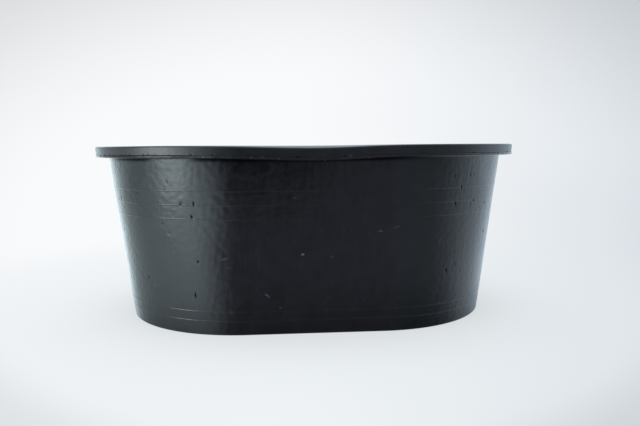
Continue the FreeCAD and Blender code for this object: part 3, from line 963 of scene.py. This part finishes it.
def rubber(name, roughness=0.22, dust=1.0):
    """Semi-matte moulded black rubber: orange peel, fine grain, upright streaks, dust, scuffs and nicks, with
    painted shade in the nicks, the seam's voids and under the lip, and a painted glint on the flash.
    """
    material, s = new_material(name)
    even = s.stretched((1, 1, 1))
    upright = s.stretched(STREAK_STRETCH)
    mottle = s.noise(even, MOTTLE_WAVES, detail=4)
    streak = s.noise(upright, STREAK_WAVES, detail=5, roughness=0.65)
    broad_streak = s.noise(upright, BROAD_STREAK_WAVES, detail=3)
    grain = s.noise(even, GRAIN_WAVES, detail=2)
    peel = s.noise(even, PEEL_WAVES, detail=2)

    dusting = s.math("MULTIPLY", s.remap(streak, 0.42, 0.72), s.remap(broad_streak, 0.35, 0.7, 0.3, 1.0))
    dusting = s.math("MULTIPLY", dusting, dust)
    colour = s.mix(s.remap(mottle, 0.35, 0.7, 0.0, MOTTLE_TINT), BLACK_RUBBER, DUSTY_RUBBER)
    colour = s.mix(s.math("MULTIPLY", dusting, DUST_TINT), colour, DUSTY_RUBBER)
    fray = s.remap(s.noise(even, FRAY_WAVES, detail=3), 0.3, 0.5, 0.35, 1.0)
    frayed = s.math("POWER", s.math("MULTIPLY", s.attribute("scuff"), fray), FRAY_POWER)
    # Scuffs turn light grey with wear; on the flash the same grey is a painted glint.
    colour = s.mix(frayed, colour, SCUFF_AND_GLINT_GREY)
    # Painted shade darkens the nicks, the seam's voids, the corner under the lip and the left of the lip.
    colour = s.mix(s.attribute("nick"), colour, NICK_SHADE)

    rough = s.math("ADD", roughness, s.remap(mottle, 0.3, 0.7, -MOTTLE_ROUGHNESS, MOTTLE_ROUGHNESS))
    rough = s.math("ADD", rough, s.math("MULTIPLY", dusting, DUST_ROUGHNESS))
    rough = s.math("ADD", rough, s.math("MULTIPLY", frayed, SCUFF_ROUGHNESS), clamp=True)

    normal = s.bump(s.math("MULTIPLY", peel, s.remap(broad_streak, 0.3, 0.7, 0.4, 1.0)), *PEEL_BUMP)
    normal = s.bump(streak, *STREAK_BUMP, normal)
    normal = s.bump(grain, *GRAIN_BUMP, normal)
    # Painted shade also takes away the shine there.
    shine = s.remap(s.attribute("nick"), 0.0, 0.8, CLEAN_SHINE, NICK_SHINE)
    s.surface(Base_Color=colour, Roughness=rough, Normal=normal, Specular_IOR_Level=shine)
    return material


def steel(name, colour, stain, roughness):
    """Dull steel with fine drawing lines and a few stains."""
    material, s = new_material(name)
    even = s.stretched((1, 1, 1))
    stains = s.remap(s.noise(even, STAIN_WAVES, detail=4), 0.52, 0.7)
    scratches = s.noise(s.stretched(DRAWN_STRETCH), DRAWN_WAVES, detail=2)
    tint = s.mix(stains, colour, stain)
    rough = s.math("ADD", roughness, s.remap(scratches, 0.3, 0.7, *DRAWN_ROUGHNESS))
    normal = s.bump(scratches, *DRAWN_BUMP)
    s.surface(Base_Color=tint, Metallic=1.0, Roughness=rough, Normal=normal)
    return material


# ---------------------------------------------------------------- stage

BACKDROP_LEFT = (0.945, 0.955, 0.972, 1)
BACKDROP_RIGHT = (0.700, 0.750, 0.790, 1)
FLOOR_LEFT = (0.850, 0.885, 0.910, 1)
FLOOR_RIGHT = (0.742, 0.784, 0.820, 1)
BACKDROP_RIGHT_HIGH = (0.740, 0.785, 0.825, 1)
GLOW_LEFT = (0.86, 1.04, 1.10, 1)
GLOW_FRONT = (0.93, 1.00, 1.26, 1)
GLOW_RIGHT = (0.84, 1.0, 1.14, 1)
BLACK = (0, 0, 0, 1)
# Round patches of the floor that send the tub more or less light: X, Y, inner and outer radius, and the
# factor.
FLOOR_PATCHES = (
    (-1.12, -0.74, 0.08, 0.42, 3.2),
    (-1.75, 0.15, 0.20, 0.60, 0.55),
    (-0.55, -0.62, 0.05, 0.30, 1.25),
    (-0.20, -1.15, 0.18, 0.37, 0.0),
    (-0.24, -1.70, 0.26, 0.52, 0.0),
    (2.10, 0.45, 0.10, 0.55, 1.5),
)
FLOOR_SIZE = 40.0
# The floor next to the tub: reach and depth of the shade, and where the floor fades into the backdrop.
SHADE_REACH = 0.4
SHADE_DEPTH = 0.19
FLOOR_FADE = (0.35, 1.15)
# The room's light on the tub: strongest behind, at the left back, at the left window, and on the right.
GLOW_BEHIND = 0.72
GLOW_LEFT_BACK = 1.1
GLOW_WINDOW = 1.95
GLOW_SIDES = (0.265, 0.41)
LIGHT_COLOUR = (0.93, 0.97, 1.0)
# Coordinates across the picture, and where it is brightest.
PICTURE_STRETCH = (1, 1.2, 0)
PICTURE_MIDDLE = (0.5, 0.54, 0)
NEAREST_SEEN = 0.01
CAMERA_PLACE = Vector((-0.068, -1.170, 0.2930))
CAMERA_HEADING = math.radians(4.53)
CAMERA_PITCH = math.radians(5.985)
CAMERA_ROLL = math.radians(-0.43)
CAMERA_LENS = 35.16
SENSOR_WIDTH = 36.0


def picture_tone(s, left, right, shade_from, shade_to, corner_shade):
    """A pale tone as the camera sees it, a little darker on the right and in the picture's corners."""
    window = s.stretched(PICTURE_STRETCH, "Window")
    tone = s.mix(s.remap(s.split(window)["X"], 0.4, 1.15), left, right)
    off_centre = s.distance(window, PICTURE_MIDDLE)
    return s.mix(s.remap(off_centre, shade_from, shade_to, 0.0, corner_shade), tone, BLACK)


def backdrop_tone(s):
    height = s.split(s.stretched((1, 1, 0), "Window"))["Y"]
    right = s.mix(s.remap(height, 0.50, 0.68), BACKDROP_RIGHT, BACKDROP_RIGHT_HIGH)
    return picture_tone(s, BACKDROP_LEFT, right, 0.42, 1.05, 0.33)


def glow_towards(s, level_direction, window_share=1.0):
    """Strength and colour of what the tub gets from a direction.

    It is dark in front, white behind, brightest from the left front, and a little brighter on the right.
    """
    sideways, ahead = level_direction["X"], level_direction["Y"]
    behind = s.remap(ahead, -0.6, 0.15, 0.0, GLOW_BEHIND)
    back = s.remap(ahead, 0.55, 0.95, 0.0, GLOW_LEFT_BACK)
    left_back = s.math("MULTIPLY", s.remap(sideways, -0.1, -0.35), back)
    front = s.remap(ahead, 0.3, -0.75, 0.0, GLOW_WINDOW)
    window = s.math("MULTIPLY", s.remap(sideways, -0.22, -0.80), front)
    sides = s.remap(sideways, -0.05, 0.45, *GLOW_SIDES)
    strength = s.math("ADD", s.math("ADD", behind, left_back), sides)
    strength = s.math("ADD", strength, s.math("MULTIPLY", window, window_share))
    tint = s.mix(s.remap(sideways, -0.3, 0.3), GLOW_LEFT, GLOW_RIGHT)
    return strength, s.mix(s.remap(ahead, -0.80, -0.97), tint, GLOW_FRONT)


def make_floor():
    """A pale floor, level with the foot, that fades into the backdrop and darkens softly next to the tub."""
    material, s = new_material("pale_floor")
    place = s.stretched((1, 1, 0))
    reach = s.distance(place, (0, 0, 0))
    occlusion = s.node("ShaderNodeAmbientOcclusion", samples=12)
    occlusion.inputs["Distance"].default_value = SHADE_REACH
    openness = occlusion.outputs["AO"]

    # To the camera the floor glows in an even tone, with painted shade next to the tub.
    tone = picture_tone(s, FLOOR_LEFT, FLOOR_RIGHT, 0.57, 0.72, 0.14)
    tone = s.mix(s.remap(reach, *FLOOR_FADE), tone, backdrop_tone(s))
    seen = s.emission(s.mix(s.remap(openness, 0.85, 0.35, 0.0, SHADE_DEPTH), tone, BLACK))
    # To the tub the floor glows as painted light: dark in front, and brighter or darker in round patches.
    away = s.level_direction(s.node("ShaderNodeNewGeometry").outputs["Incoming"], -1)
    glow, tint = glow_towards(s, away, s.remap(openness, 0.35, 0.85, 0.6, 1.0))
    near_foot = s.remap(openness, 0.3, 0.95, 0.4, 1.0)
    rightness = s.remap(s.split(place)["X"], 0.0, 0.3, 0.0, 1.2)
    right_side = s.math("MULTIPLY", rightness, s.remap(away["Y"], 0.3, -0.2))
    glow = s.math("MULTIPLY", glow, s.math("POWER", near_foot, s.math("ADD", right_side, 1.0)))
    glow = s.math("MULTIPLY", glow, s.remap(s.split(place)["Y"], -1.0, -0.6, 0.85, 1.0))
    for x, y, inner, outer, factor in FLOOR_PATCHES:
        glow = s.math("MULTIPLY", glow, s.remap(s.distance(place, (x, y, 0)), inner, outer, factor, 1.0))
    sent = s.emission(tint, glow)
    s.finish("ShaderNodeOutputMaterial", s.for_camera(seen, sent))

    mesh = bpy.data.meshes.new("floor")
    half = FLOOR_SIZE / 2
    corners = [(-half, -half, 0), (half, -half, 0), (half, half, 0), (-half, half, 0)]
    mesh.from_pydata(corners, [], [range(4)])
    mesh.materials.append(material)
    linked_object("floor", mesh)


def make_surroundings():
    """A white backdrop for the camera, and for the tub the bright and dark sides of the room."""
    world = bpy.data.worlds.new("studio")
    bpy.context.scene.world = world
    world.use_nodes = True
    s = Shader(world.node_tree)
    seen = s.emission(backdrop_tone(s), kind="ShaderNodeBackground")
    away = s.level_direction(s.node("ShaderNodeTexCoord").outputs["Generated"], 1)
    glow, tint = glow_towards(s, away)
    glow = s.math("MULTIPLY", glow, s.remap(away["X"], -0.95, -0.2, 0.68, 1.0))
    sent = s.emission(tint, glow, kind="ShaderNodeBackground")
    s.finish("ShaderNodeOutputWorld", s.for_camera(seen, sent))


def add_light(name, place, aim, width, height, power):
    """A large soft rectangular light."""
    data = bpy.data.lights.new(name, "AREA")
    data.shape = "RECTANGLE"
    data.size = width
    data.size_y = height
    data.energy = power
    data.color = LIGHT_COLOUR
    light = linked_object(name, data)
    light.location = place
    light.rotation_euler = (Vector(aim) - Vector(place)).to_track_quat("-Z", "Y").to_euler()
    light.visible_camera = False


def make_lights():
    """A bright window to the left and a broad soft light overhead."""
    add_light("left_window", (-1.65, -0.90, 0.52), (-0.3, -0.2, 0.52), width=0.8, height=1.0, power=18)
    add_light("overhead", (0.0, 0.3, 2.6), (0, 0, 0), width=2.4, height=2.4, power=18)


def make_camera():
    data = bpy.data.cameras.new("camera")
    data.lens = CAMERA_LENS
    data.sensor_width = SENSOR_WIDTH
    data.sensor_fit = "HORIZONTAL"
    data.clip_start = NEAREST_SEEN
    camera = linked_object("camera", data)
    turn = Matrix.Rotation(-CAMERA_HEADING, 4, "Z")
    tilt = Matrix.Rotation(math.pi / 2 - CAMERA_PITCH, 4, "X")
    roll = Matrix.Rotation(CAMERA_ROLL, 4, "Z")
    camera.matrix_world = Matrix.Translation(CAMERA_PLACE) @ turn @ tilt @ roll
    bpy.context.scene.camera = camera


# ---------------------------------------------------------------- assembly

def fit_piece(piece, node, material):
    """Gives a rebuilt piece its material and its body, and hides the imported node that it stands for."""
    piece.data.materials.append(material)
    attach(piece, "root")
    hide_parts(node)


def main():
    shell = make_shell()
    fit_piece(shell, "tub_shell", rubber("shell_rubber"))
    band = make_band()
    fit_piece(band, "rim_band", rubber("band_rubber", roughness=0.32, dust=0.8))
    hoop = make_hoop()
    fit_piece(hoop, "rim_hoop", steel("hoop_steel", HOOP_STEEL, HOOP_RUST, roughness=0.42))
    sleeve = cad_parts["hoop_sleeve"]
    sleeve.data.materials.clear()
    sleeve.data.materials.append(steel("sleeve_steel", SLEEVE_STEEL, SLEEVE_STAIN, roughness=0.36))

    make_floor()
    make_surroundings()
    make_lights()
    make_camera()
    bpy.context.scene.view_settings.view_transform = "Standard"


main()
